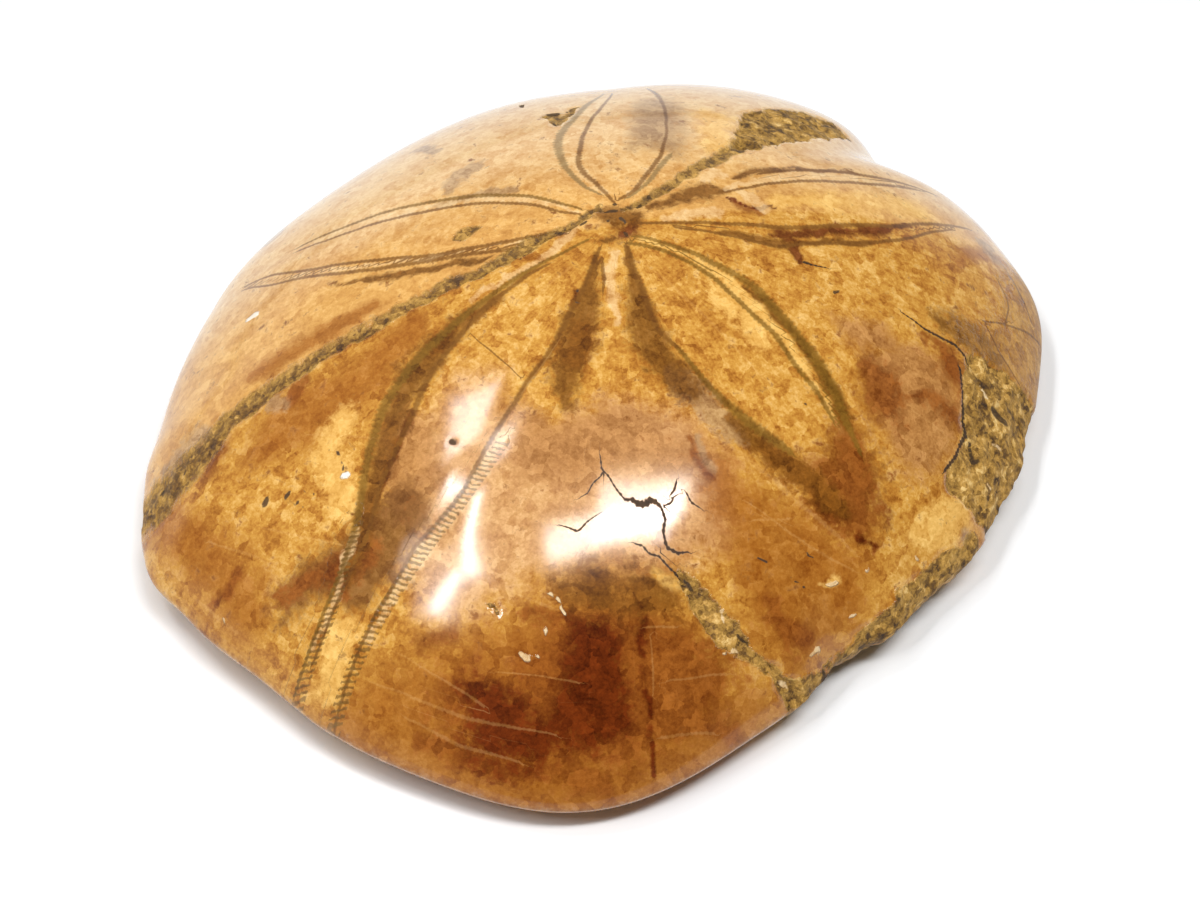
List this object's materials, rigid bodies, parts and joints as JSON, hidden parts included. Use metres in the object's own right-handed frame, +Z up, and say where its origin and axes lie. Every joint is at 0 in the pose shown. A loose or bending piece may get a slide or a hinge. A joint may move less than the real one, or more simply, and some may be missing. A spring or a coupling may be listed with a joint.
{
  "type": "fossil sea urchin",
  "caption": "Polished fossil sea urchin, low and domed, with petal-shaped pore bands meeting off-centre and a flattened mouth side to lie on.",
  "frame": {"origin": "middle of the bounding box's base, on the flat ring of the mouth side that the fossil rests on", "axes": "+Z up from the mouth side to the crown; +Y towards the petal that points straight back from the apex, so the broad bulging end faces -Y"},
  "size_m": [0.0822, 0.0836, 0.0239],
  "materials": {
    "polished_calcite": "polished"
  },
  "bodies": {
    "root": {"fossil_sea_urchin": "polished_calcite"}
  },
  "joints": []
}
